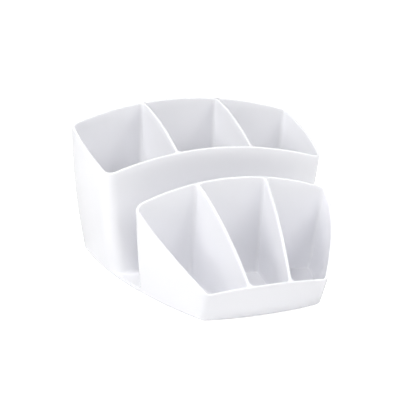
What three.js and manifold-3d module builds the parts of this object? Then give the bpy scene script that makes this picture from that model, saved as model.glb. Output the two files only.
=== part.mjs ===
// A desk organizer: a tall rear bin and a lower front bin, each with three compartments, and an
// open slot between them. Walls belly outwards from a smaller base, and rims arch in the middle.
// Millimetres. +X is right, +Y is back, +Z is up. z = 0 is the surface that the feet rest on.
import * as THREE from "three";
import { mergeVertices } from "three/addons/utils/BufferGeometryUtils.js";
import Module from "manifold-3d";

// Plan of the rims, measured from corner to corner
const rearBackWidth = 149;
const rearFrontWidth = 142.8;
const frontBackWidth = 125.8;
const frontFrontWidth = 76.4;
const rearDepth = 60.2;
const slotWidth = 21.5;
const frontDepth = 53;

// Height of the rims at their corners
const rearBackHeight = 82;
const rearFrontHeight = 66.7;
const frontBackHeight = 55;
const frontFrontHeight = 18.7;

// How far the middle of each rim bows in plan and arches above its corners
const rearBackBow = 5.4;
const rearBackArch = 11;
const rearFrontBow = 5.9;
const rearFrontArch = 10.3;
const rearSideBow = 2.5;
const rearSideArch = 1.1;
const frontBackBow = 4.7;
const frontBackArch = 10.8;
const frontFrontBow = 3.9;
const frontFrontArch = 3.5;
const frontSideBow = 4.6;
const frontSideArch = 3.5;

// The base outline, and how far the end walls lean out above it
const baseBackWidth = 131.6;
const baseFrontWidth = 75.6;
const baseSideBow = 9.2;
const baseBackBow = 5;
const baseFrontBow = 3.8;
const backLean = 4.8;
const frontLean = 6.4;
const slotDraft = 1.6;
const bellyHeight = 90;

// Walls, floors and dividers
const wall = 2;
const dividerWall = 1.8;
const floorThickness = 2;
const slotFloorThickness = 1;
const baseEdgeRound = 1.6;
const rearDividerBackX = 25.3;
const rearDividerFrontX = 24.3;
const rearDividerArch = 2.8;
const frontDividerBackX = 21.7;
const frontDividerFrontX = 13.1;
const frontDividerArch = 4.6;

// Length along each wall that a rounded vertical corner takes, at the rim and at the floor
const rearFrontCorner = { rim: 7.5, floor: 13 };
const frontBackCorner = { rim: 6.5, floor: 6.5 };
const smallCorner = { rim: 3.5, floor: 3.5 };

// Feet, each in a shallow recess
const footRadius = 5;
const footProud = 0.6;
const footRecess = 0.8;
const footClearance = 0.3;
const footInset = 13;

// Fineness of the surfaces. A cross wall's steps run to the first divider, across it, on to the
// second, across it, and on to the end.
const levels = 5;
const crossSteps = [3, 1, 4, 1, 3];
const sideSteps = 5;
const cornerSteps = 4;
const dividerSteps = 6;
const baseEdgeSteps = 3;
const footSides = 32;
const halvings = 40;

const white = { color: 0xf4f4f6, roughness: 0.18, metalness: 0 };
const soft = { color: 0xd9dadb, roughness: 0.75, metalness: 0 };

// Places worked out from the sizes above
const depth = frontFrontBow + frontDepth + slotWidth + rearDepth + rearBackBow;
const yFront = frontFrontBow - depth / 2;
const ySlotFront = yFront + frontDepth;
const ySlotBack = ySlotFront + slotWidth;
const yBack = ySlotBack + rearDepth;
const yBaseBack = yBack - backLean;
const yBaseFront = yFront + frontLean;
const zBottom = footProud;
const zFloor = zBottom + floorThickness;
const zSlot = zFloor + slotFloorThickness;

const mix = (a, b, t) => a + (b - a) * t;
const hump = (t) => 4 * t * (1 - t);

// The wall's outward travel at height z: steep at the base and upright near the top.
function belly(z) {
  return 1 - (1 - z / bellyHeight) ** 2;
}

// Half the width of the base at depth y: a parabola from the front corners to the back ones.
function baseHalfWidth(y) {
  const t = (y - yBaseFront) / (yBaseBack - yBaseFront);
  return mix(baseFrontWidth, baseBackWidth, t) / 2 + baseSideBow * hump(t);
}

// What is left of the base's side bow on the stretch between two depths.
function baseBowBetween(y0, y1) {
  return baseSideBow * ((y1 - y0) / (yBaseBack - yBaseFront)) ** 2;
}

// A corner of a bin on the +X side: its place on the base plane and on the rim.
function corner(baseHalf, baseY, rimHalf, rimY, rimZ) {
  const base = new THREE.Vector2(baseHalf, baseY);
  return { base, rim: new THREE.Vector3(rimHalf, rimY, rimZ) };
}

function mirrored(c) {
  const base = new THREE.Vector2(-c.base.x, c.base.y);
  return { base, rim: new THREE.Vector3(-c.rim.x, c.rim.y, c.rim.z) };
}

// A stretch of wall from corner a to corner b. It bows along the unit vector outward.
function edge(a, b, outward, baseBow, rimBow, arch) {
  return { a, b, outward, baseBow, rimBow, arch };
}

function rimHeight(e, s) {
  return mix(e.a.rim.z, e.b.rim.z, s) + e.arch * hump(s);
}

// The heights of a column: floor, slot floor, then even steps up to the rim.
function levelHeight(rimZ, level) {
  if (level === 0) return zFloor;
  return mix(zSlot, rimZ, (level - 1) / levels);
}

// The outer surface at a fraction s along the edge and at a level.
function outer(e, s, level) {
  const rimZ = rimHeight(e, s);
  const z = levelHeight(rimZ, level);
  const out = belly(z) / belly(rimZ);
  const baseBow = e.baseBow * hump(s);
  const rimBow = e.rimBow * hump(s);
  const baseX = mix(e.a.base.x, e.b.base.x, s) + e.outward.x * baseBow;
  const baseY = mix(e.a.base.y, e.b.base.y, s) + e.outward.y * baseBow;
  const rimX = mix(e.a.rim.x, e.b.rim.x, s) + e.outward.x * rimBow;
  const rimY = mix(e.a.rim.y, e.b.rim.y, s) + e.outward.y * rimBow;
  return new THREE.Vector3(mix(baseX, rimX, out), mix(baseY, rimY, out), z);
}

// The fraction along a cross wall at which its surface passes x at this level.
function fractionAtX(e, x, level) {
  let low = 0;
  let high = 1;
  const rising = e.b.rim.x > e.a.rim.x;
  for (let i = 0; i < halvings; i++) {
    const s = (low + high) / 2;
    const short = outer(e, s, level).x < x;
    if (short === rising) low = s;
    else high = s;
  }
  return (low + high) / 2;
}

// Stations along a cross wall. Each is a function from a level to a fraction, so that the
// stations at a divider's two faces run straight up while those at the corners follow the wall.
function crossStations(e, startCut, endCut, dividerX) {
  const sign = Math.sign(e.b.rim.x - e.a.rim.x);
  const knots = [startCut];
  for (const x of [-dividerX, dividerX]) {
    for (const side of [-0.5, 0.5]) {
      knots.push((level) => fractionAtX(e, sign * (x + side * dividerWall), level));
    }
  }
  knots.push((level) => 1 - endCut(level));
  const stations = [knots[0]];
  crossSteps.forEach((count, i) => {
    for (let k = 1; k <= count; k++) {
      stations.push((level) => mix(knots[i](level), knots[i + 1](level), k / count));
    }
  });
  return stations;
}

function sideStations(startCut, endCut) {
  const station = (k) => (level) => mix(startCut(level), 1 - endCut(level), k / sideSteps);
  return Array.from({ length: sideSteps + 1 }, (_, k) => station(k));
}

// A rounded corner from the end of edge e to the start of edge f, at a level.
function cornerPoints(e, cutE, f, cutF, level) {
  const from = outer(e, 1 - cutE(level), level);
  const tip = outer(e, 1, level);
  const to = outer(f, cutF(level), level);
  const curve = new THREE.QuadraticBezierCurve3(from, tip, to);
  return curve.getPoints(cornerSteps).slice(1, -1);
}

// The share of an edge that a rounded corner takes, as a function of the level.
function cornerShare(e, cut) {
  const length = e.a.rim.distanceTo(e.b.rim);
  return (level) => mix(cut.floor, cut.rim, Math.max(0, level - 1) / levels) / length;
}

// One bin's wall ring. Columns run counter-clockwise seen from above, starting at the left end
// of the front wall. ring.outer[level] and ring.inner[level] are closed loops of points.
function makeRing(edges, cornerCuts, dividerX) {
  const cutBefore = edges.map((e, k) => cornerShare(e, cornerCuts[(k + 3) % 4]));
  const cutAfter = edges.map((e, k) => cornerShare(e, cornerCuts[k]));
  const stations = edges.map((e, k) =>
    k % 2 === 0
      ? crossStations(e, cutBefore[k], cutAfter[k], dividerX[k / 2])
      : sideStations(cutBefore[k], cutAfter[k]),
  );
  const ring = { outer: [], inner: [], marks: [] };
  for (let level = 0; level <= levels + 1; level++) {
    const loop = [];
    ring.marks = [];
    edges.forEach((e, k) => {
      const next = edges[(k + 1) % 4];
      const first = loop.length;
      stations[k].forEach((s) => loop.push(outer(e, s(level), level)));
      ring.marks.push({ first, last: loop.length - 1 });
      loop.push(...cornerPoints(e, cutAfter[k], next, cutBefore[(k + 1) % 4], level));
    });
    ring.outer.push(loop);
    ring.inner.push(insetLoop(loop, wall));
  }
  return ring;
}

// Moves each point of a counter-clockwise loop inwards in plan, along the bisector of its sides.
function insetLoop(loop, distance) {
  return loop.map((p, i) => {
    const before = loop[(i + loop.length - 1) % loop.length];
    const after = loop[(i + 1) % loop.length];
    const inDir = new THREE.Vector2(p.x - before.x, p.y - before.y).normalize();
    const outDir = new THREE.Vector2(after.x - p.x, after.y - p.y).normalize();
    const along = inDir.add(outDir).normalize();
    return new THREE.Vector3(p.x - along.y * distance, p.y + along.x * distance, p.z);
  });
}

// A closed solid between two sheets of points, near[column][level] and far[column][level].
// Neighbouring slabs share whole columns, so the faces that meet are split along one diagonal.
function slab(near, far, startTurned = false) {
  const columns = near.length;
  const rows = near[0].length;
  const points = [...near.flat(), ...far.flat()];
  const a = (c, r) => c * rows + r;
  const b = (c, r) => (columns + c) * rows + r;
  const faces = [];
  const quad = (p, q, r, s) => faces.push(p, q, r, p, r, s);
  for (let c = 0; c + 1 < columns; c++) {
    for (let r = 0; r + 1 < rows; r++) {
      quad(a(c, r), a(c + 1, r), a(c + 1, r + 1), a(c, r + 1));
      quad(b(c, r), b(c, r + 1), b(c + 1, r + 1), b(c + 1, r));
    }
    quad(a(c, 0), b(c, 0), b(c + 1, 0), a(c + 1, 0));
    quad(a(c, rows - 1), a(c + 1, rows - 1), b(c + 1, rows - 1), b(c, rows - 1));
  }
  const end = columns - 1;
  for (let r = 0; r + 1 < rows; r++) {
    if (startTurned) quad(a(0, r + 1), b(0, r + 1), b(0, r), a(0, r));
    else quad(a(0, r), a(0, r + 1), b(0, r + 1), b(0, r));
    quad(a(end, r), b(end, r), b(end, r + 1), a(end, r + 1));
  }
  return geometryOf(points, faces);
}

function geometryOf(points, faces) {
  const geometry = new THREE.BufferGeometry();
  geometry.setFromPoints(points);
  geometry.setIndex(faces);
  geometry.computeVertexNormals();
  return geometry;
}

// The wall between two columns of a ring, which may run past the loop's last column.
function ringWall(ring, first, last) {
  const count = ring.outer[0].length;
  const near = [];
  const far = [];
  for (let i = first; i <= last; i++) {
    near.push(ring.outer.map((loop) => loop[i % count]));
    far.push(ring.inner.map((loop) => loop[i % count]));
  }
  return slab(near, far);
}

// Column numbers, within a cross wall, of the faces of its first and second divider.
const columnAfter = (stretches) => crossSteps.slice(0, stretches).reduce((a, b) => a + b);
const dividerColumns = [
  [columnAfter(1), columnAfter(2)],
  [columnAfter(3), columnAfter(4)],
];

// A divider from the front wall to the back wall of a ring. It shares the walls' own points.
function dividerSlab(ring, which, arch) {
  const [frontLeft, frontRight] = dividerColumns[which].map((c) => ring.marks[0].first + c);
  const [backRight, backLeft] = dividerColumns[1 - which].map((c) => ring.marks[2].first + c);
  const point = (loop, level, front, back, t) => {
    const p = loop[front].clone().lerp(loop[back], t);
    p.z += (arch * hump(t) * Math.max(0, level - 1)) / levels;
    return p;
  };
  const sheet = (front, back) =>
    Array.from({ length: dividerSteps + 1 }, (_, i) =>
      ring.inner.map((loop, level) => point(loop, level, front, back, i / dividerSteps)),
    );
  return slab(sheet(frontRight, backRight), sheet(frontLeft, backLeft), true);
}

// A flat-topped solid with the same outline points at each height.
function stack(loops) {
  const count = loops[0].length;
  const top = loops.length - 1;
  const outline = loops[top].map((p) => new THREE.Vector2(p.x, p.y));
  const cap = THREE.ShapeUtils.triangulateShape(outline, []);
  const faces = [];
  for (const [p, q, r] of cap) {
    faces.push(top * count + p, top * count + q, top * count + r);
    faces.push(p, r, q);
  }
  for (let k = 0; k < top; k++) {
    for (let i = 0; i < count; i++) {
      const j = (i + 1) % count;
      const low = k * count;
      const high = low + count;
      faces.push(low + i, low + j, high + i);
      faces.push(low + j, high + j, high + i);
    }
  }
  return geometryOf(loops.flat(), faces);
}

// The points of a ring's outer face from one column to another, wrapping past the last one.
function stretch(loop, first, last) {
  const count = loop.length;
  const end = last < first ? last + count : last;
  return Array.from({ length: end - first + 1 }, (_, i) => loop[(first + i) % count].clone());
}

// The strip of floor between the bins, level with the walls' second row of points.
function slotFloorGeometry(rear, front) {
  const loops = [0, 1].map((level) => {
    const ahead = stretch(front.outer[level], front.marks[1].last + 1, front.marks[3].first - 1);
    const behind = stretch(rear.outer[level], rear.marks[3].last + 1, rear.marks[1].first - 1);
    return [...ahead.reverse(), ...behind.reverse()];
  });
  return stack(loops);
}

// The plate under both bins and the slot, with a rounded lower edge and a recess for each foot.
function basePlateGeometry(rear, front) {
  const outline = [
    ...stretch(rear.outer[0], rear.marks[1].first - 1, rear.marks[3].last + 1),
    ...stretch(front.outer[0], front.marks[3].first - 1, front.marks[1].last + 1),
  ];
  const loops = [];
  for (let k = 0; k <= baseEdgeSteps; k++) {
    const angle = (k / baseEdgeSteps) * (Math.PI / 2);
    const z = zBottom + baseEdgeRound * (1 - Math.cos(angle));
    const inset = insetLoop(outline, baseEdgeRound * (1 - Math.sin(angle)));
    loops.push(inset.map((p) => p.setZ(z)));
  }
  loops.push(outline);
  let plate = solidFrom(stack(loops));
  for (const place of Object.values(footPlaces)) {
    plate = plate.subtract(solidFrom(recessGeometry(place)));
  }
  return geometryFrom(plate);
}

// The centres of the four feet, inset from the base outline.
function footPlace(side, y) {
  return new THREE.Vector2(side * (baseHalfWidth(y) - footInset), y);
}

const footPlaces = {
  foot_front_left: footPlace(-1, yBaseFront + footInset),
  foot_front_right: footPlace(1, yBaseFront + footInset),
  foot_rear_left: footPlace(-1, yBaseBack - footInset),
  foot_rear_right: footPlace(1, yBaseBack - footInset),
};

function disc(place, radius, low, high) {
  const geometry = new THREE.CylinderGeometry(radius, radius, high - low, footSides);
  geometry.rotateX(Math.PI / 2);
  return geometry.translate(place.x, place.y, (low + high) / 2);
}

function footGeometry(place) {
  return disc(place, footRadius, 0, footProud + footRecess);
}

function recessGeometry(place) {
  return disc(place, footRadius + footClearance, 0, zBottom + footRecess);
}

const wasm = await Module();
wasm.setup();

function solidFrom(geometry) {
  const bare = geometry.clone();
  bare.deleteAttribute("normal");
  bare.deleteAttribute("uv");
  const merged = mergeVertices(bare, 1e-4);
  const vertProperties = new Float32Array(merged.attributes.position.array);
  const triVerts = new Uint32Array(merged.index.array);
  return new wasm.Manifold(new wasm.Mesh({ numProp: 3, vertProperties, triVerts }));
}

function geometryFrom(solid) {
  const { vertProperties, triVerts } = solid.getMesh();
  const geometry = new THREE.BufferGeometry();
  geometry.setAttribute("position", new THREE.BufferAttribute(vertProperties, 3));
  geometry.setIndex(new THREE.BufferAttribute(triVerts, 1));
  geometry.computeVertexNormals();
  return geometry;
}

const outwards = {
  front: new THREE.Vector2(0, -1),
  right: new THREE.Vector2(1, 0),
  back: new THREE.Vector2(0, 1),
  left: new THREE.Vector2(-1, 0),
};

// The four edges of a bin, counter-clockwise from the front wall.
function binEdges(frontCorner, backCorner, bows) {
  const frontLeft = mirrored(frontCorner);
  const backLeft = mirrored(backCorner);
  const side = [bows.sideBase, bows.sideRim, bows.sideArch];
  return [
    edge(frontLeft, frontCorner, outwards.front, bows.frontBase, bows.frontRim, bows.frontArch),
    edge(frontCorner, backCorner, outwards.right, ...side),
    edge(backCorner, backLeft, outwards.back, bows.backBase, bows.backRim, bows.backArch),
    edge(backLeft, frontLeft, outwards.left, ...side),
  ];
}

function rearRing() {
  const yBase = ySlotBack - slotDraft;
  const front = corner(baseHalfWidth(yBase), yBase, rearFrontWidth / 2, ySlotBack, rearFrontHeight);
  const back = corner(baseBackWidth / 2, yBaseBack, rearBackWidth / 2, yBack, rearBackHeight);
  const edges = binEdges(front, back, {
    frontBase: -rearFrontBow,
    frontRim: -rearFrontBow,
    frontArch: rearFrontArch,
    sideBase: baseBowBetween(yBase, yBaseBack),
    sideRim: rearSideBow,
    sideArch: rearSideArch,
    backBase: baseBackBow,
    backRim: rearBackBow,
    backArch: rearBackArch,
  });
  const cuts = [rearFrontCorner, smallCorner, smallCorner, rearFrontCorner];
  return makeRing(edges, cuts, [rearDividerFrontX, rearDividerBackX]);
}

function frontRing() {
  const yBase = ySlotFront + slotDraft;
  const front = corner(
    baseFrontWidth / 2,
    yBaseFront,
    frontFrontWidth / 2,
    yFront,
    frontFrontHeight,
  );
  const back = corner(baseHalfWidth(yBase), yBase, frontBackWidth / 2, ySlotFront, frontBackHeight);
  const edges = binEdges(front, back, {
    frontBase: baseFrontBow,
    frontRim: frontFrontBow,
    frontArch: frontFrontArch,
    sideBase: baseBowBetween(yBaseFront, yBase),
    sideRim: frontSideBow,
    sideArch: frontSideArch,
    backBase: frontBackBow,
    backRim: frontBackBow,
    backArch: frontBackArch,
  });
  const cuts = [smallCorner, frontBackCorner, frontBackCorner, smallCorner];
  return makeRing(edges, cuts, [frontDividerFrontX, frontDividerBackX]);
}

const organizer = new THREE.Group();

function addPiece(name, geometry, finish) {
  const mesh = new THREE.Mesh(geometry, new THREE.MeshStandardMaterial(finish));
  mesh.name = name;
  organizer.add(mesh);
}

// The walls and dividers of one bin. Side walls take the rounded corners at both their ends.
function addBin(bin, ring, dividerArch) {
  const [front, , back] = ring.marks;
  const lap = ring.outer[0].length;
  const walls = {
    front_wall: [front.first, front.last],
    right_wall: [front.last, back.first],
    back_wall: [back.first, back.last],
    left_wall: [back.last, front.first + lap],
  };
  for (const [name, [first, last]] of Object.entries(walls)) {
    addPiece(`${bin}_${name}`, ringWall(ring, first, last), white);
  }
  addPiece(`${bin}_left_divider`, dividerSlab(ring, 0, dividerArch), white);
  addPiece(`${bin}_right_divider`, dividerSlab(ring, 1, dividerArch), white);
}

const rear = rearRing();
const front = frontRing();
addPiece("base_plate", basePlateGeometry(rear, front), white);
addPiece("slot_floor", slotFloorGeometry(rear, front), white);
addBin("rear_bin", rear, rearDividerArch);
addBin("front_bin", front, frontDividerArch);
for (const [name, place] of Object.entries(footPlaces)) {
  addPiece(name, footGeometry(place), soft);
}

export default organizer;
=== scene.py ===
# %% [markdown]
# # A moulded desk organizer
# The real thing is one injection moulding in glossy white plastic: a tall rear bin and a low
# front bin, each with three compartments, and an open slot between them. It stands on four soft
# feet. The frame holds its walls as separate nodes for the physics. Here they become one
# seamless skin, because a moulding has no joints to show.

# %% Open the frame
import math
from collections import namedtuple

import bmesh
import bpy
import numpy as np
from mathutils import Matrix, Vector


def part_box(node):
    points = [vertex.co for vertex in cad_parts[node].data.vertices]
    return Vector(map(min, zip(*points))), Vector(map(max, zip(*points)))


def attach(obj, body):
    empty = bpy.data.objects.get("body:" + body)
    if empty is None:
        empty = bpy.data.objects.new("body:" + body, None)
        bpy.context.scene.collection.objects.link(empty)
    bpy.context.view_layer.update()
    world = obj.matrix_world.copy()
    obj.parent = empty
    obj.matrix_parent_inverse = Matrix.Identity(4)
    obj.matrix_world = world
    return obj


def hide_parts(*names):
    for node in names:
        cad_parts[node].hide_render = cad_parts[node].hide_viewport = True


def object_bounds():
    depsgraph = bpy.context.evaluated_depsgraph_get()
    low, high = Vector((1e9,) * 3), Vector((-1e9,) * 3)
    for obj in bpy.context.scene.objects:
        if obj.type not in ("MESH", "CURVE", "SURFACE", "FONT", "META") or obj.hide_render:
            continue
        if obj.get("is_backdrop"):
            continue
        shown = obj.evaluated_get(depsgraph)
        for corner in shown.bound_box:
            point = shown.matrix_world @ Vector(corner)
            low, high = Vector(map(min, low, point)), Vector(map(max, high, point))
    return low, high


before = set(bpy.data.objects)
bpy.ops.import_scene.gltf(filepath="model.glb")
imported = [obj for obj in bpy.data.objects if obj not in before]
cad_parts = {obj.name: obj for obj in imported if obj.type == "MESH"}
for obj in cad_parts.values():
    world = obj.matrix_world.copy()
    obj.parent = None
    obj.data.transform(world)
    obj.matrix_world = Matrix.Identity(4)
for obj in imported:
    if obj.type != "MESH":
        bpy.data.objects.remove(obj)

cad_low, cad_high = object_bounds()
MM = 0.001
print("frame box in mm:", [round(v / MM, 1) for v in (cad_high - cad_low)])

# %% [markdown]
# ## Sizes of the moulding
# All lengths here are millimetres, and the mesh is scaled to metres when it is made. Each bin has
# four corners. A corner has one place on the rim and one on the base plane, and the walls belly
# out from one to the other. Rims bow outwards in plan and arch upwards in the middle.

# %% Sizes
REAR = dict(
    front_width=142.8, back_width=149.0, front_height=66.7, back_height=82.0,
    front_bow=-5.9, front_arch=10.3, back_bow=5.4, back_arch=11.0, side_bow=2.5, side_arch=1.1,
    divider_front=24.3, divider_back=25.3, divider_arch=2.8,
)
FRONT = dict(
    front_width=76.4, back_width=125.8, front_height=18.7, back_height=55.0,
    front_bow=3.9, front_arch=3.5, back_bow=4.7, back_arch=10.8, side_bow=4.6, side_arch=3.5,
    divider_front=13.1, divider_back=21.7, divider_arch=4.6,
)
BASE = dict(back_width=131.6, front_width=75.6, side_bow=9.2, back_bow=5.0, front_bow=3.8)
FRONT_DEPTH, SLOT_WIDTH, REAR_DEPTH = 53.0, 21.5, 60.2
BACK_LEAN, FRONT_LEAN, SLOT_DRAFT, BELLY_HEIGHT = 4.8, 6.4, 1.6, 90.0
WALL, DIVIDER = 2.0, 1.8
Z_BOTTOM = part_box("base_plate")[0].z / MM
Z_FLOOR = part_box("base_plate")[1].z / MM
Z_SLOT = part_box("slot_floor")[1].z / MM
Y_FRONT = cad_low.y / MM + FRONT["front_bow"]
Y_SLOT_FRONT = Y_FRONT + FRONT_DEPTH
Y_SLOT_BACK = Y_SLOT_FRONT + SLOT_WIDTH
Y_BACK = Y_SLOT_BACK + REAR_DEPTH
Y_BASE_BACK, Y_BASE_FRONT = Y_BACK - BACK_LEAN, Y_FRONT + FRONT_LEAN
print("floors at", round(Z_FLOOR, 2), "and", round(Z_SLOT, 2), "mm")

# %% [markdown]
# Radii decide how a moulding catches the light. Rims roll over from both sides, compartments
# have soft fillets all round, and the rear bin's corners beside the slot open out towards the
# base. The front bin's back corners are tighter inside than outside.

# %% Radii
RIM_ROUND = 0.8
FLOOR_FILLET = 1.0
SLOT_FILLET = 3.2
DIVIDER_FILLET = 2.8
SLOT_EDGE_ROUND = 0.6
BASE_ROUND = 1.6
Cut = namedtuple("Cut", "rim floor")
WIDE_CUT, MIDDLE_CUT, SMALL_CUT = Cut(7.5, 13.0), Cut(6.5, 6.5), Cut(3.5, 3.5)
INNER_CUT_LESS, INNER_CUT_LEAST = 1.2, 2.3
MIDDLE_INNER_CUT = Cut(3.7, 2.3)

# %% [markdown]
# ## The curved walls
# A wall could be drawn as a flat profile and pushed out, but these walls curve three ways at once.
# A formula for one point of the outer face is shorter and exact: give it a fraction along the
# wall and a height, and it answers with a place. Everything else is built on that function.

# %% One point of a wall
Edge = namedtuple("Edge", "base_a base_b rim_a rim_b outward base_bow rim_bow arch")


def mix(a, b, t):
    return a + (b - a) * t


def hump(t):
    return 4 * t * (1 - t)


def belly(z):
    """How far the wall has travelled outwards at height z."""
    return 1 - (1 - z / BELLY_HEIGHT) ** 2


def rim_height(e, s):
    return mix(e.rim_a[2], e.rim_b[2], s) + e.arch * hump(s)


def skin(e, s, z):
    """The outer face at fraction s along the wall and height z, in plan."""
    share = belly(z) / belly(rim_height(e, s))
    low = mix(e.base_a, e.base_b, s) + e.outward * e.base_bow * hump(s)
    high = mix(e.rim_a[:2], e.rim_b[:2], s) + e.outward * e.rim_bow * hump(s)
    return mix(low, high, share)


def heading(e, s, z, step=1e-3):
    """Direction along the wall, the direction inwards, and the length that s = 1 stands for."""
    along = (skin(e, s + step, z) - skin(e, s - step, z)) / (2 * step)
    length = np.hypot(*along)
    along = along / length
    return along, np.array([-along[1], along[0]]), length


def lining(e, s, z):
    """The inner face of the same wall."""
    return skin(e, s, z) + WALL * heading(e, s, z)[1]


# %% The two bins
def half_base(y):
    t = (y - Y_BASE_FRONT) / (Y_BASE_BACK - Y_BASE_FRONT)
    return mix(BASE["front_width"], BASE["back_width"], t) / 2 + BASE["side_bow"] * hump(t)


def base_bow(y0, y1):
    return BASE["side_bow"] * ((y1 - y0) / (Y_BASE_BACK - Y_BASE_FRONT)) ** 2


def make_bin(sizes, y_rim, y_base, half_bases, base_bows, cuts):
    """A bin's four walls, counter-clockwise from the front, with its corner cuts and dividers."""
    places = {}
    for end in (0, 1):
        half_rim = sizes[("front_width", "back_width")[end]] / 2
        height = sizes[("front_height", "back_height")[end]]
        for side in (-1, 1):
            base = np.array([side * half_bases[end], y_base[end]])
            places[end, side] = (base, np.array([side * half_rim, y_rim[end], height]))
    order = [((0, -1), (0, 1)), ((0, 1), (1, 1)), ((1, 1), (1, -1)), ((1, -1), (0, -1))]
    outward = [np.array(v, float) for v in ((0, -1), (1, 0), (0, 1), (-1, 0))]
    names = ["front", "side", "back", "side"]
    edges = []
    for (a, b), out, name, bow in zip(order, outward, names, base_bows):
        (base_a, rim_a), (base_b, rim_b) = places[a], places[b]
        rim_bow, arch = sizes[name + "_bow"], sizes[name + "_arch"]
        edges.append(Edge(base_a, base_b, rim_a, rim_b, out, bow, rim_bow, arch))
    return dict(edges=edges, cuts=cuts, y=y_rim, **sizes)


y_rear_base = Y_SLOT_BACK - SLOT_DRAFT
y_front_base = Y_SLOT_FRONT + SLOT_DRAFT
rear_side_bow = base_bow(y_rear_base, Y_BASE_BACK)
front_side_bow = base_bow(Y_BASE_FRONT, y_front_base)
rear_bin = make_bin(
    REAR, (Y_SLOT_BACK, Y_BACK), (y_rear_base, Y_BASE_BACK),
    (half_base(y_rear_base), BASE["back_width"] / 2),
    (REAR["front_bow"], rear_side_bow, BASE["back_bow"], rear_side_bow),
    (WIDE_CUT, SMALL_CUT, SMALL_CUT, WIDE_CUT),
)
front_bin = make_bin(
    FRONT, (Y_FRONT, Y_SLOT_FRONT), (Y_BASE_FRONT, y_front_base),
    (BASE["front_width"] / 2, half_base(y_front_base)),
    (BASE["front_bow"], front_side_bow, FRONT["back_bow"], front_side_bow),
    (SMALL_CUT, MIDDLE_CUT, MIDDLE_CUT, SMALL_CUT),
)
print("rear rim peaks at", round(rim_height(rear_bin["edges"][2], 0.5), 1), "mm")

# %% [markdown]
# ## Rows and columns
# The skin is a net. A row says how high a loop lies: tau runs from the wall's foot to just below
# the rim, and the last rows lift and shift to roll over the rim. Columns follow the walls, and
# every column of the outside has a partner on the inside, so that the rim is a clean strip of
# four-sided faces. The walk below goes once round a bin, naming the compartment behind each
# stretch of wall.

# %% Rows
Row = namedtuple("Row", "tau low lift shift")
WALL_ROWS, ROUND_ROWS, FILLET_ROWS = 22, 5, 5
STATIONS, BEND = 16, 7
WALK = ((0, 0), (1, 0), (2, 0), (2, 1), (2, 2), (1, 2), (0, 2), (0, 3))


def wall_rows(low):
    """Rows from the foot of a wall to the crest of its rounded rim."""
    rows = [Row(tau, low, 0.0, 0.0) for tau in np.linspace(0, 1, WALL_ROWS)]
    for angle in np.linspace(0, math.pi / 2, ROUND_ROWS)[1:]:
        lift = RIM_ROUND * math.sin(angle)
        rows.append(Row(1.0, low, lift, RIM_ROUND * (1 - math.cos(angle))))
    return rows


def height(e, s, row, low=None):
    foot = row.low if low is None else low
    return mix(foot, rim_height(e, s) - RIM_ROUND, row.tau) + row.lift


def bend(start, tip, end):
    """The points of a rounded corner, without its two ends."""
    t = np.linspace(0, 1, BEND + 2)[1:-1, None]
    return (1 - t) ** 2 * start + 2 * t * (1 - t) * tip + t ** 2 * end


def shifted(loop, distance):
    """A counter-clockwise loop moved inwards in plan."""
    ahead = np.roll(loop, -1, axis=0)[:, :2] - loop[:, :2]
    behind = loop[:, :2] - np.roll(loop, 1, axis=0)[:, :2]
    ahead = ahead / np.linalg.norm(ahead, axis=1)[:, None]
    behind = behind / np.linalg.norm(behind, axis=1)[:, None]
    along = ahead + behind
    along = along / np.linalg.norm(along, axis=1)[:, None]
    moved = loop.copy()
    moved[:, 0] -= along[:, 1] * distance
    moved[:, 1] += along[:, 0] * distance
    return moved


# %% [markdown]
# A compartment has a tip at each corner, where two of its faces would meet if they were sharp.
# At a bin corner the tip is where two linings cross. At a divider it is where the lining meets
# the divider's face, and halving an interval finds it in a few steps.

# %% Corners of a compartment
def cut_at(cut, tau):
    return mix(cut.floor, cut.rim, tau)


def bin_tip(box, corner, row):
    """Tip between wall number corner and the next: its place and the fraction on both walls."""
    e, f = box["edges"][corner], box["edges"][(corner + 1) % 4]
    z = height(e, 1.0, row)
    along_e, in_e, length_e = heading(e, 1.0, z)
    along_f, in_f, length_f = heading(f, 0.0, z)
    tip = skin(e, 1.0, z) + WALL * (in_e + in_f) / (1 + in_e @ in_f)
    s_e = 1 - (lining(e, 1.0, z) - tip) @ along_e / length_e
    s_f = (tip - lining(f, 0.0, z)) @ along_f / length_f
    return np.array([*tip, z]), s_e, s_f


def divider_face(box, divider, face, y):
    """x of a divider's left face (-1) or right face (1) at depth y."""
    side = (-1, 1)[divider]
    t = (y - box["y"][0]) / (box["y"][1] - box["y"][0])
    return side * mix(box["divider_front"], box["divider_back"], t) + face * DIVIDER / 2


def divider_tip(box, wall, divider, face, row, halvings=26):
    """Tip between a cross wall's lining and a divider's face, and the fraction on the wall."""
    e = box["edges"][wall]
    low, high = 0.0, 1.0
    rising = e.rim_b[0] > e.rim_a[0]
    for _ in range(halvings):
        s = (low + high) / 2
        x, y = lining(e, s, height(e, s, row))
        if (x < divider_face(box, divider, face, y)) == rising:
            low = s
        else:
            high = s
    z = height(e, s, row)
    return np.array([*lining(e, s, z), z]), s


def pocket_tips(box, k, row):
    """The four tips of compartment k, from front left round, with their fractions."""
    tips = []
    for corner, wall in ((3, 0), (0, 0), (1, 2), (2, 2)):
        left = corner in (2, 3)
        if (k == 0 and left) or (k == 2 and not left):
            place, s_e, s_f = bin_tip(box, corner, row)
            tips.append((place, s_e, s_f, box["cuts"][corner]))
        else:
            divider, face = (k - 1, 1) if left else (k, -1)
            place, s = divider_tip(box, wall, divider, face, row)
            tips.append((place, s, s, None))
    return tips


def inner_cut(cut, tau):
    if cut is None:
        return DIVIDER_FILLET
    if cut == MIDDLE_CUT:
        return cut_at(MIDDLE_INNER_CUT, tau)
    return max(cut_at(cut, tau) - INNER_CUT_LESS, INNER_CUT_LEAST)


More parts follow.
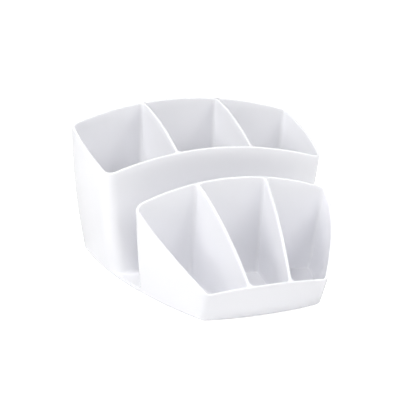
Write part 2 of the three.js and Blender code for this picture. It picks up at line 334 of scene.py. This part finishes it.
# %% [markdown]
# With its tips known, a compartment's loop is four sides joined by four bends. A side either
# follows a wall's lining or runs straight along a divider, whose top edge has an arch of its own.

# %% One loop of a compartment
def divider_side(box, k, side, row):
    """A divider's face beside compartment k, as high at each depth as the divider's middle."""
    divider, face = (k, -1) if side == 1 else (k - 1, 1)
    walls = (0, 2) if side == 1 else (2, 0)
    p, q = [divider_tip(box, wall, divider, 0, row)[0] for wall in walls]
    margin = DIVIDER_FILLET / np.linalg.norm(q - p)
    share = np.linspace(margin, 1 - margin, STATIONS)
    points = p + (q - p) * share[:, None]
    points[:, 0] += face * DIVIDER / 2
    points[:, 2] += box["divider_arch"] * hump(share) * row.tau
    return points


def pocket_loop(box, k, row):
    """Sides, bends and the fractions used on the walls, for compartment k at a row."""
    tips = pocket_tips(box, k, row)
    sides, fractions = [], []
    for side in range(4):
        (p, _, s_p, cut_p), (q, s_q, _, cut_q) = tips[side], tips[(side + 1) % 4]
        length = np.linalg.norm(q - p)
        u0 = inner_cut(cut_p, row.tau) / length
        u1 = 1 - inner_cut(cut_q, row.tau) / length
        lined = side in (0, 2) or (side == 1 and k == 2) or (side == 3 and k == 0)
        if lined:
            e = box["edges"][side]
            s = mix(s_p, s_q, np.linspace(u0, u1, STATIONS))
            z = height(e, s, row)
            sides.append(np.array([[*lining(e, si, zi), zi] for si, zi in zip(s, z)]))
            fractions.append((s[0], s[-1]))
        else:
            sides.append(divider_side(box, k, side, row))
            fractions.append(None)
    bends = []
    for side in range(4):
        tip = tips[(side + 1) % 4][0]
        bends.append(bend(sides[side][-1], tip, sides[(side + 1) % 4][0]))
    return sides, bends, fractions


def closed_loop(sides, bends):
    return np.vstack([part for pair in zip(sides, bends) for part in pair])


# %% [markdown]
# The outer loop walks round the same stretches. Between two compartments it crosses the end of a
# divider, and at a bin's corner it takes the outer bend. The columns that face the slot stop
# higher up, at the top of the fillet that leads into the slot's floor.

# %% One loop of the outside
def ring_fractions(box, row):
    """For each stretch of the walk, the fractions along its wall."""
    loops = [pocket_loop(box, k, row)[2] for k in range(3)]
    spans = []
    for k, side in WALK:
        e = box["edges"][side]
        length = np.linalg.norm(e.rim_b - e.rim_a)
        start, end = loops[k][side]
        before, after = box["cuts"][(side + 3) % 4], box["cuts"][side]
        first_on_wall = side in (1, 3) or (side, k) in ((0, 0), (2, 2))
        last_on_wall = side in (1, 3) or (side, k) in ((0, 2), (2, 0))
        if first_on_wall:
            start = cut_at(before, row.tau) / length
        if last_on_wall:
            end = 1 - cut_at(after, row.tau) / length
        spans.append((side, start, end, last_on_wall))
    return spans


def ring_loop(box, row, lows=None):
    """The outside loop at a row. lows gives each column's foot, if they differ."""
    spans = ring_fractions(box, row)
    columns = []
    for i, (side, start, end, at_corner) in enumerate(spans):
        e = box["edges"][side]
        columns += [(e, s) for s in np.linspace(start, end, STATIONS)]
        follower = spans[(i + 1) % len(spans)]
        if at_corner:
            f = box["edges"][follower[0]]
            columns += [(e, end, f, follower[1], t) for t in np.linspace(0, 1, BEND + 2)[1:-1]]
        else:
            columns += [(e, s) for s in np.linspace(end, follower[1], 2 * BEND + 3)[1:-1]]
    feet = [row.low] * len(columns) if lows is None else lows
    return np.array([ring_point(c, row, low) for c, low in zip(columns, feet)])


def ring_point(column, row, low):
    e, s = column[:2]
    if len(column) == 2:
        z = height(e, s, row, low)
        return np.array([*skin(e, s, z), z])
    f, s_f, t = column[2:]
    corner_z = height(e, 1.0, row, low)
    start_z, end_z = height(e, s, row, low), height(f, s_f, row, low)
    start = np.array([*skin(e, s, start_z), start_z])
    tip = np.array([*skin(e, 1.0, corner_z), corner_z])
    end = np.array([*skin(f, s_f, end_z), end_z])
    return (1 - t) ** 2 * start + 2 * t * (1 - t) * tip + t ** 2 * end


def joint_length(i):
    """How many columns lie between stretch i of the walk and the next one."""
    return BEND if WALK[i][0] == WALK[(i + 1) % 8][0] else 2 * BEND + 1


starts = np.cumsum([0] + [STATIONS + joint_length(i) for i in range(8)])
RING = int(starts[-1])
print("columns round a bin:", RING)

# %% [markdown]
# ## A net of faces
# Every patch goes into one bmesh as its own grid. Patches share their border points exactly, so
# welding points that coincide joins them into one closed surface.

# %% Patches
shell = bmesh.new()


def add_points(points):
    return [shell.verts.new(Vector(p) * MM) for p in points]


def add_face(*verts):
    shell.faces.new(verts)


def add_grid(rows, closed):
    """Faces between rows of points. A closed grid joins its last column to its first."""
    made = [add_points(r) for r in rows]
    count = len(made[0])
    for low, high in zip(made, made[1:]):
        for i in range(count if closed else count - 1):
            j = (i + 1) % count
            add_face(low[i], low[j], high[j], high[i])


def add_strip(outer, inner):
    add_grid([outer, inner], False)


# %% [markdown]
# Compartments first. Each one drops from the crest of its rim to the floor fillet, turns through
# a quarter circle, and closes with a flat floor.

# %% Compartments
FLOOR_LIP = 0.3
tops = {}


def add_pocket(name, box, k):
    loops = []
    for row in wall_rows(Z_FLOOR + FLOOR_FILLET):
        sides, bends, _ = pocket_loop(box, k, row)
        loop = closed_loop(sides, bends)
        loops.append(shifted(loop, -row.shift))
    tops[name, k] = loops[-1]
    foot = loops[0]
    below = []
    for angle in np.linspace(0, math.pi / 2, FILLET_ROWS)[1:]:
        loop = shifted(foot, FLOOR_FILLET * (1 - math.cos(angle)))
        loop[:, 2] = Z_FLOOR + FLOOR_FILLET * (1 - math.sin(angle))
        below.append(loop)
    below.append(shifted(below[-1], FLOOR_LIP))
    add_grid([r[::-1] for r in below[::-1] + loops], True)
    add_face(*add_points(below[-1]))


for name, box in (("rear", rear_bin), ("front", front_bin)):
    for k in range(3):
        add_pocket(name, box, k)
print("points after the compartments:", len(shell.verts))

# %% [markdown]
# The outside of a bin is one grid of loops. The feet of its slot-side columns are raised little
# by little round the corners, so that the fillet starts from nothing at the side and reaches its
# full radius by the time it faces the other bin.

# %% Outside walls
def slot_columns(first_stretch, last_stretch):
    """Column numbers that face the slot, from one side wall's end to the other's start."""
    first = int(starts[first_stretch]) + STATIONS - 1
    last = int(starts[last_stretch])
    if last <= first:
        last += RING
    return [i % RING for i in range(first, last + 1)]


REAR_SLOT = slot_columns(7, 3)
FRONT_SLOT = slot_columns(3, 7)
SLOT_COUNT = len(REAR_SLOT)


def slot_radii():
    """The fillet's radius for each slot column: nothing at both ends, full in between."""
    reach = np.minimum(np.arange(SLOT_COUNT), np.arange(SLOT_COUNT)[::-1]) / (BEND + 1)
    t = np.clip(reach, 0, 1)
    return SLOT_FILLET * t * t * (3 - 2 * t)


def ring_feet(columns):
    feet = np.full(RING, Z_SLOT)
    feet[columns] += slot_radii()
    return feet


outside = {}
for name, box, columns in (("rear", rear_bin, REAR_SLOT), ("front", front_bin, FRONT_SLOT)):
    feet = ring_feet(columns)
    rows = [shifted(ring_loop(box, row, feet), row.shift) for row in wall_rows(Z_SLOT)]
    outside[name] = rows
    add_grid(rows, True)
print("points after the outside walls:", len(shell.verts))

# %% [markdown]
# The rim joins each outer column to its partner inside. Where a divider meets a wall, the outer
# columns fan out to the two bends beside it, and one small triangle closes the gap between them.

# %% Rims
def side_start(side):
    return side * (STATIONS + BEND)


def around(loop, first, count):
    return loop[[(first + i) % len(loop) for i in range(count)]]


def add_rim(name):
    crest = outside[name][-1]
    for i, (k, side) in enumerate(WALK):
        inner = tops[name, k]
        first = int(starts[i])
        add_strip(around(crest, first, STATIONS), around(inner, side_start(side), STATIONS))
        joint = first + STATIONS - 1
        leaving = around(inner, side_start(side) + STATIONS - 1, BEND + 2)
        add_strip(around(crest, joint, BEND + 2), leaving)
        next_k, next_side = WALK[(i + 1) % 8]
        if next_k != k:
            arriving = around(tops[name, next_k], side_start(next_side) - BEND - 1, BEND + 2)
            add_strip(around(crest, joint + BEND + 1, BEND + 2), arriving)
            middle = crest[(joint + BEND + 1) % RING]
            add_face(*add_points([middle, arriving[0], leaving[-1]]))
    for k in (0, 1):
        right_face = around(tops[name, k], side_start(1), STATIONS)
        left_face = around(tops[name, k + 1], side_start(3), STATIONS)[::-1]
        add_strip(right_face, left_face)


add_rim("rear")
add_rim("front")

# %% [markdown]
# The slot's floor is a grid too. Each column starts at the foot of the rear bin, runs down the
# fillet, crosses the floor and climbs the fillet of the front bin. Its two outermost columns lie
# on the base's outline, where the floor's edge is softened.

# %% The slot's floor
FLOOR_ROWS = 8
EDGE_REACH = 0.6
quarter = np.linspace(0, math.pi / 2, FILLET_ROWS)
rear_feet = outside["rear"][0][REAR_SLOT]
front_feet = outside["front"][0][FRONT_SLOT][::-1]


def across(rear_foot, front_foot, radius):
    """One column of the slot's floor, from the rear bin to the front bin."""
    gap = front_foot[:2] - rear_foot[:2]
    direction = gap / np.hypot(*gap)
    run = max(radius, EDGE_REACH)
    points = []
    for foot, turn in ((rear_foot, direction), (front_foot, -direction)):
        curve = []
        for angle in quarter:
            plan = foot[:2] + turn * run * (1 - math.cos(angle))
            curve.append([*plan, Z_SLOT + radius * (1 - math.sin(angle))])
        points.append(np.array(curve))
    start, end = points[0][-1], points[1][-1]
    middle = start + (end - start) * np.linspace(0, 1, FLOOR_ROWS)[1:-1, None]
    return np.vstack([points[0], middle, points[1][::-1]])


slot_net = np.array([across(a, b, r) for a, b, r in zip(rear_feet, front_feet, slot_radii())])
ACROSS = slot_net.shape[1]


def shares(column):
    """How far along a column each of its points lies, from 0 to 1."""
    steps = np.linalg.norm(np.diff(column[:, :2], axis=0), axis=1)
    return np.concatenate([[0], np.cumsum(steps)]) / steps.sum()


def side_line(start, end, side, part, z, inset):
    """The base's outline between the bins at height z. The middle is drawn in by inset.

    The cube makes the inset fade well before the ends, where the floor meets the bins' corners.
    """
    bow = base_bow(start[1], end[1])
    points = start + (end - start) * part[:, None]
    plan_x = side * (bow * hump(part) - inset * hump(part) ** 3)
    return np.column_stack([points[:, 0] + plan_x, points[:, 1], np.full(len(part), z)])


SPREAD = 1.7
end_shares = {-1: shares(slot_net[0]), 1: shares(slot_net[-1])}
for i in range(1, BEND + 1):
    spread = SPREAD * hump(i / (BEND + 1))
    slot_net[i, :, 0] += spread * hump(shares(slot_net[i]))
    slot_net[-1 - i, :, 0] -= spread * hump(shares(slot_net[-1 - i]))
for side, column in ((-1, 0), (1, -1)):
    net = slot_net[column]
    slot_net[column] = side_line(
        net[0, :2], net[-1, :2], side, end_shares[side], Z_SLOT, SLOT_EDGE_ROUND
    )
add_grid(slot_net.transpose(1, 0, 2), False)
print("slot floor:", SLOT_COUNT, "by", ACROSS, "points")

# %% [markdown]
# ## The base
# Below the slot's floor the outline of both bins and the slot between them is one loop. It goes
# down in rows, rolls under with a small radius and ends in a flat underside with a recess for
# each foot.

# %% The base's rows
def plain_loop(box, z):
    """A ring's columns at one height, all the way round."""
    row = Row(0.0, z, 0.0, 0.0)
    return ring_loop(box, row)


def base_loop(z, inset):
    """The whole outline at height z, counter-clockwise. inset applies beside the slot only."""
    rear, front = plain_loop(rear_bin, z), plain_loop(front_bin, z)
    rear_part = around(rear, REAR_SLOT[-1], RING - SLOT_COUNT + 2)
    front_part = around(front, FRONT_SLOT[-1], RING - SLOT_COUNT + 2)
    left = side_line(
        rear_part[-1, :2], front_part[0, :2], -1, end_shares[-1], z, inset
    )
    right = side_line(
        rear_part[0, :2], front_part[-1, :2], 1, end_shares[1], z, inset
    )[::-1]
    return np.vstack([rear_part, left[1:-1], front_part, right[1:-1]])


UNDERSIDE_LIP = 1.0
base_rows = []
for angle in np.linspace(math.pi / 2, 0, ROUND_ROWS):
    z = Z_SLOT - SLOT_EDGE_ROUND * (1 - math.sin(angle))
    base_rows.append(base_loop(z, SLOT_EDGE_ROUND * (1 - math.cos(angle))))
lowest = base_loop(Z_BOTTOM + BASE_ROUND, 0.0)
for angle in np.linspace(0, math.pi / 2, FILLET_ROWS + 1):
    loop = shifted(lowest, BASE_ROUND * (1 - math.cos(angle)))
    loop[:, 2] = Z_BOTTOM + BASE_ROUND * (1 - math.sin(angle))
    base_rows.append(loop)
base_rows.append(shifted(base_rows[-1], UNDERSIDE_LIP))
add_grid(base_rows[::-1], True)

# %% [markdown]
# The underside is flat with four round recesses. A fill that understands holes closes it from
# the border edges, and each recess gets a short wall and a roof.

# %% The underside and its recesses
FEET = ("foot_front_left", "foot_front_right", "foot_rear_left", "foot_rear_right")
FOOT_SIDES = 48
RECESS_GAP = 0.3


def foot_place(node):
    """Centre and radius of a foot, and the height of its top, in millimetres."""
    low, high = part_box(node)
    centre = (low + high) / 2 / MM
    return centre.x, centre.y, (high.x - low.x) / 2 / MM, high.z / MM


def circle(x, y, radius, z):
    turn = np.linspace(0, 2 * math.pi, FOOT_SIDES, endpoint=False)
    return np.column_stack([x + radius * np.cos(turn), y + radius * np.sin(turn), 0 * turn + z])


border = add_points(base_rows[-1])
rings = [border]
for node in FEET:
    x, y, radius, top = foot_place(node)
    low = circle(x, y, radius + RECESS_GAP, Z_BOTTOM)
    high = circle(x, y, radius + RECESS_GAP, top)
    add_grid([high, low], True)
    add_face(*reversed(add_points(high)))
    rings.append(add_points(low))
edges = [shell.edges.new((r[i], r[(i + 1) % len(r)])) for r in rings for i in range(len(r))]
bmesh.ops.triangle_fill(shell, edges=edges, use_beauty=True, normal=(0, 0, -1))
print("underside filled, faces so far:", len(shell.faces))

# %% Weld the patches into one skin
WELD_REACH, SLIVER = 0.0004, 0.0002
bmesh.ops.remove_doubles(shell, verts=shell.verts, dist=WELD_REACH * MM)
bmesh.ops.dissolve_degenerate(shell, edges=shell.edges, dist=SLIVER * MM)
bmesh.ops.recalc_face_normals(shell, faces=shell.faces)
open_edges = [e for e in shell.edges if len(e.link_faces) != 2]
print("faces:", len(shell.faces), " open edges:", len(open_edges))
mesh = bpy.data.meshes.new("organizer_shell")
shell.to_mesh(mesh)
shell.free()
organizer_shell = bpy.data.objects.new("organizer_shell", mesh)
bpy.context.collection.objects.link(organizer_shell)
mesh.shade_smooth()

moulded = [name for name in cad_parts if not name.startswith("foot_")]
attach(organizer_shell, "root")
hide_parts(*moulded)
print("the shell stands for", len(moulded), "nodes")

# %% [markdown]
# ## Feet
# Each foot is a soft disc pressed into its recess. Turning a small profile round the foot's axis
# gives it a rounded rim and the shallow dish of a moulded pad.

# %% Feet
PAD_ROUND, PAD_ROUND_POINTS = 0.35, 6
DISH_DEPTH, DISH_SHARE = 0.12, 0.55
SLOPE_SHARE, SLOPE_DEPTH_SHARE = 0.68, 0.4


def foot_profile(radius, top):
    """Radius and height pairs, from the middle of the face that touches the desk to the top."""
    inner = radius - PAD_ROUND
    points = [(0.0, DISH_DEPTH), (radius * DISH_SHARE, DISH_DEPTH)]
    points.append((radius * SLOPE_SHARE, DISH_DEPTH * SLOPE_DEPTH_SHARE))
    for angle in np.linspace(0, math.pi / 2, PAD_ROUND_POINTS):
        points.append((inner + PAD_ROUND * math.sin(angle), PAD_ROUND * (1 - math.cos(angle))))
    points.append((radius, top - PAD_ROUND))
    points.append((inner, top))
    points.append((0.0, top))
    return points


def make_foot(node):
    x, y, radius, top = foot_place(node)
    pad = bmesh.new()
    rings = []
    for r, z in foot_profile(radius, top):
        if r == 0:
            rings.append([pad.verts.new(Vector((x, y, z)) * MM)])
        else:
            rings.append([pad.verts.new(Vector(p) * MM) for p in circle(x, y, r, z)])
    for low, high in zip(rings, rings[1:]):
        for i in range(FOOT_SIDES):
            j = (i + 1) % FOOT_SIDES
            below = [low[i % len(low)], low[j % len(low)]]
            above = [high[j % len(high)], high[i % len(high)]]
            pad.faces.new(list(dict.fromkeys(below + above)))
    bmesh.ops.recalc_face_normals(pad, faces=pad.faces)
    pad_mesh = bpy.data.meshes.new(node.replace("foot", "pad"))
    pad.to_mesh(pad_mesh)
    pad.free()
    pad_mesh.shade_smooth()
    piece = bpy.data.objects.new(pad_mesh.name, pad_mesh)
    bpy.context.collection.objects.link(piece)
    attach(piece, "root")
    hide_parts(node)
    return piece


pads = [make_foot(node) for node in FEET]
print("feet:", [p.name for p in pads])

# %% [markdown]
# ## Finishes
# Both finishes come from a mould, so they share one effect: a faint ripple left by the flow of
# the melt, a film of dust and finger marks that dulls the gloss in patches, and a slight drift of
# the tint. It is built once as a node group and set differently in each material.

# %% A node group for moulded surfaces
Noise = namedtuple("Noise", "scale detail rough")
DRIFT, MARKS, RIPPLE = Noise(18, 2, 0.5), Noise(70, 6, 0.65), Noise(300, 2, 0.4)
MARKS_BEGIN, MARKS_FULL = 0.35, 0.8


def new_link(tree, source, target):
    tree.links.new(source, target)


def moulded_group():
    """Inputs for tint, gloss and ripple. Outputs a colour, a roughness and a height."""
    group = bpy.data.node_groups.new("moulded surface", "ShaderNodeTree")
    face = group.interface
    for label, kind, value in (
        ("Tint", "NodeSocketColor", (0.8, 0.8, 0.8, 1)),
        ("Shade", "NodeSocketColor", (0.7, 0.7, 0.7, 1)),
        ("Gloss", "NodeSocketFloat", 0.2),
        ("Film", "NodeSocketFloat", 0.1),
        ("Ripple Scale", "NodeSocketFloat", RIPPLE.scale),
    ):
        socket = face.new_socket(label, in_out="INPUT", socket_type=kind)
        socket.default_value = value
    for label, kind in (
        ("Color", "NodeSocketColor"),
        ("Roughness", "NodeSocketFloat"),
        ("Height", "NodeSocketFloat"),
    ):
        face.new_socket(label, in_out="OUTPUT", socket_type=kind)
    nodes = group.nodes
    given, result = nodes.new("NodeGroupInput"), nodes.new("NodeGroupOutput")
    place = nodes.new("ShaderNodeTexCoord")

    def noise(kind):
        node = nodes.new("ShaderNodeTexNoise")
        node.inputs["Scale"].default_value = kind.scale
        node.inputs["Detail"].default_value = kind.detail
        node.inputs["Roughness"].default_value = kind.rough
        new_link(group, place.outputs["Object"], node.inputs["Vector"])
        return node

    drift, marks, ripple = noise(DRIFT), noise(MARKS), noise(RIPPLE)
    new_link(group, given.outputs["Ripple Scale"], ripple.inputs["Scale"])
    tint = nodes.new("ShaderNodeMix")
    tint.data_type = "RGBA"
    new_link(group, drift.outputs["Fac"], tint.inputs["Factor"])
    new_link(group, given.outputs["Tint"], tint.inputs["A"])
    new_link(group, given.outputs["Shade"], tint.inputs["B"])
    new_link(group, tint.outputs["Result"], result.inputs["Color"])
    band = nodes.new("ShaderNodeMapRange")
    band.inputs["From Min"].default_value = MARKS_BEGIN
    band.inputs["From Max"].default_value = MARKS_FULL
    band.interpolation_type = "SMOOTHSTEP"
    new_link(group, marks.outputs["Fac"], band.inputs["Value"])
    dull = nodes.new("ShaderNodeMath")
    dull.operation = "MULTIPLY_ADD"
    new_link(group, band.outputs["Result"], dull.inputs[0])
    new_link(group, given.outputs["Film"], dull.inputs[1])
    new_link(group, given.outputs["Gloss"], dull.inputs[2])
    new_link(group, dull.outputs["Value"], result.inputs["Roughness"])
    new_link(group, ripple.outputs["Fac"], result.inputs["Height"])
    return group


MOULDED = moulded_group()


def finish_of(name, tint, shade, gloss, film, ripple_scale, ripple_height):
    """A Principled material fed by the moulded-surface group."""
    material = bpy.data.materials.new(name)
    material.use_nodes = True
    tree = material.node_tree
    shader = tree.nodes["Principled BSDF"]
    effect = tree.nodes.new("ShaderNodeGroup")
    effect.node_tree = MOULDED
    effect.inputs["Tint"].default_value = (*tint, 1)
    effect.inputs["Shade"].default_value = (*shade, 1)
    effect.inputs["Gloss"].default_value = gloss
    effect.inputs["Film"].default_value = film
    effect.inputs["Ripple Scale"].default_value = ripple_scale
    relief = tree.nodes.new("ShaderNodeBump")
    relief.inputs["Distance"].default_value = ripple_height
    relief.inputs["Strength"].default_value = 1.0
    new_link(tree, effect.outputs["Color"], shader.inputs["Base Color"])
    new_link(tree, effect.outputs["Roughness"], shader.inputs["Roughness"])
    new_link(tree, effect.outputs["Height"], relief.inputs["Height"])
    new_link(tree, relief.outputs["Normal"], shader.inputs["Normal"])
    return material, shader


# %% Gloss white plastic and soft grey rubber
PLASTIC_IOR = 1.5
WHITE_TINT, WHITE_SHADE = (0.865, 0.867, 0.907), (0.847, 0.849, 0.892)
gloss_white, white_shader = finish_of(
    "gloss_white", WHITE_TINT, WHITE_SHADE, gloss=0.13, film=0.05,
    ripple_scale=260.0, ripple_height=0.012 * MM,
)
white_shader.inputs["IOR"].default_value = PLASTIC_IOR
organizer_shell.data.materials.append(gloss_white)

RUBBER_TINT, RUBBER_SHADE = (0.50, 0.51, 0.52), (0.44, 0.45, 0.46)
soft_rubber, _ = finish_of(
    "soft_rubber", RUBBER_TINT, RUBBER_SHADE, gloss=0.62, film=0.2,
    ripple_scale=2600.0, ripple_height=0.03 * MM,
)
for pad in pads:
    pad.data.materials.append(soft_rubber)
print("finishes:", gloss_white.name, soft_rubber.name)

# %% [markdown]
# ## Floor, light and camera
# A pale floor, soft light from panels all round, and a long lens a little above the rims, seen
# from the left. The floor glows for camera rays only, so that it shows as plain white and yet
# throws no extra light on the organizer.

# %% Floor
FLOOR_SIZE = 6.0
PAPER_COLOUR, PAPER_ROUGHNESS, PAPER_GLOW = (0.9, 0.9, 0.91, 1), 0.9, 0.75
floor_mesh = bpy.data.meshes.new("studio_floor")
half = FLOOR_SIZE / 2
floor_mesh.from_pydata(
    [(-half, -half, 0), (half, -half, 0), (half, half, 0), (-half, half, 0)], [], [(0, 1, 2, 3)]
)
studio_floor = bpy.data.objects.new("studio_floor", floor_mesh)
bpy.context.collection.objects.link(studio_floor)
studio_floor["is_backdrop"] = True
paper = bpy.data.materials.new("paper")
paper.use_nodes = True
paper_shader = paper.node_tree.nodes["Principled BSDF"]
paper_shader.inputs["Base Color"].default_value = PAPER_COLOUR
paper_shader.inputs["Roughness"].default_value = PAPER_ROUGHNESS
glow = paper.node_tree.nodes.new("ShaderNodeMath")
glow.operation = "MULTIPLY"
glow.inputs[1].default_value = PAPER_GLOW
seen = paper.node_tree.nodes.new("ShaderNodeLightPath")
new_link(paper.node_tree, seen.outputs["Is Camera Ray"], glow.inputs[0])
new_link(paper.node_tree, glow.outputs["Value"], paper_shader.inputs["Emission Strength"])
paper_shader.inputs["Emission Color"].default_value = (1, 1, 1, 1)
studio_floor.data.materials.append(paper)
print("floor side in m:", FLOOR_SIZE)

# %% [markdown]
# White plastic shows its shape only through small steps of grey, so each side of the organizer
# needs its own brightness. A big panel on the left is the strongest and whitens the outer left
# faces, and a small high one beside it reaches down into the compartments. Small ones in front let
# the dividers throw soft shadows, the right is a little weaker, and one behind keeps the back rim
# from going dark. The lamps are a touch warm and the surround a touch cool, which leaves a cool
# cast in the depths of the compartments.

# %% Light
CENTRE = Vector((0, 0, 0.045))
LAMP_COLOUR = (1.0, 1.0, 0.96)
SURROUND_COLOUR, SURROUND_STRENGTH = (0.83, 0.83, 1.0, 1), 0.1
PANEL_DISTANCE = 1.2


def panel(name, azimuth, elevation, size, watts):
    """A soft square light that looks at the organizer. Azimuth 0 is in front, 90 on the right."""
    data = bpy.data.lights.new(name, "AREA")
    data.shape = "SQUARE"
    data.size = size
    data.energy = watts
    data.color = LAMP_COLOUR
    lamp = bpy.data.objects.new(name, data)
    bpy.context.collection.objects.link(lamp)
    a, e = math.radians(azimuth), math.radians(elevation)
    away = Vector((math.sin(a) * math.cos(e), -math.cos(a) * math.cos(e), math.sin(e)))
    lamp.location = CENTRE + away * PANEL_DISTANCE
    lamp.rotation_euler = away.to_track_quat("Z", "Y").to_euler()
    return lamp


panel("left_wall", -88, 35, size=0.6, watts=7.5)
panel("left_high", -75, 62, size=0.3, watts=4)
panel("front_left", -25, 40, size=0.3, watts=3)
panel("front_low", 5, 20, size=0.3, watts=1.2)
panel("front_right", 35, 40, size=0.3, watts=2.5)
panel("right_wall", 75, 40, size=0.6, watts=5.5)
panel("behind", 180, 40, size=0.3, watts=1.7)
world = bpy.data.worlds.new("studio")
bpy.context.scene.world = world
world.use_nodes = True
surround = world.node_tree.nodes["Background"]
surround.inputs["Color"].default_value = SURROUND_COLOUR
surround.inputs["Strength"].default_value = SURROUND_STRENGTH
bpy.context.scene.view_settings.view_transform = "Standard"

# %% Camera
VIEW_AZIMUTH, VIEW_ELEVATION, VIEW_ROLL = -24.4, 19.4, 2.9
VIEW_DISTANCE = 0.7286
VIEW_TARGET = Vector((-0.0019, 0.0274, 0.0384))
LENS, SENSOR = 104.66, 36.0
NEAREST, FARTHEST = 0.01, 50.0


def aim_camera():
    a, e = math.radians(VIEW_AZIMUTH), math.radians(VIEW_ELEVATION)
    back = Vector((math.sin(a) * math.cos(e), -math.cos(a) * math.cos(e), math.sin(e)))
    data = bpy.data.cameras.new("camera")
    data.lens, data.sensor_width = LENS, SENSOR
    data.clip_start, data.clip_end = NEAREST, FARTHEST
    camera = bpy.data.objects.new("camera", data)
    bpy.context.collection.objects.link(camera)
    right = (-back).cross(Vector((0, 0, 1))).normalized()
    up = right.cross(-back)
    roll = math.radians(VIEW_ROLL)
    x_axis = math.cos(roll) * right + math.sin(roll) * up
    y_axis = -math.sin(roll) * right + math.cos(roll) * up
    turn = Matrix((x_axis, y_axis, back)).transposed().to_4x4()
    camera.matrix_world = Matrix.Translation(VIEW_TARGET + back * VIEW_DISTANCE) @ turn
    return camera


bpy.context.scene.camera = aim_camera()
print("lens:", LENS, "mm at", VIEW_DISTANCE, "m")

# %% [markdown]
# ## Measure and finish
# Both boxes are printed, the frame's at the start and the visible model's here. The visible
# model has to stay in the frame's box.

# %% Write the sizes and finish
low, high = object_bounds()
print("visible box in mm:", [round(v / MM, 1) for v in (high - low)])
